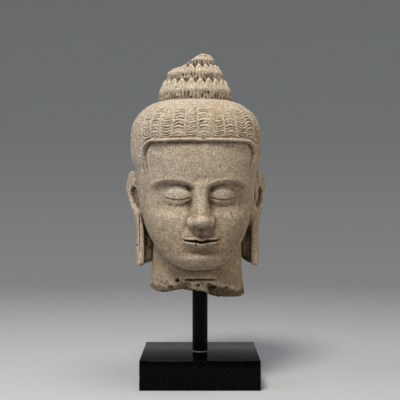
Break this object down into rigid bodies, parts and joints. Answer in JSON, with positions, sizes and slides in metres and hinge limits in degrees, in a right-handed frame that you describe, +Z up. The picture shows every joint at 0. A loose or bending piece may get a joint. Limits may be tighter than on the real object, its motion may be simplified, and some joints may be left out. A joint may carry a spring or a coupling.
{
  "type": "stone buddha head",
  "caption": "Carved sandstone Buddha head with curled hair, a tiered topknot, long-lobed ears and a broken neck, on a round steel rod in a polished black block.",
  "frame": {"origin": "middle of the black block's underside, where it rests", "axes": "+Z up along the rod, -Y towards the viewer of the face, +X to the viewer's right"},
  "size_m": [0.1865, 0.2098, 0.4263],
  "materials": {
    "sandstone": "matte",
    "black_steel": "satin",
    "black_stone": "polished"
  },
  "bodies": {
    "root": {"stone_head": "sandstone", "mounting_rod": "black_steel", "base_block": "black_stone"}
  },
  "joints": []
}
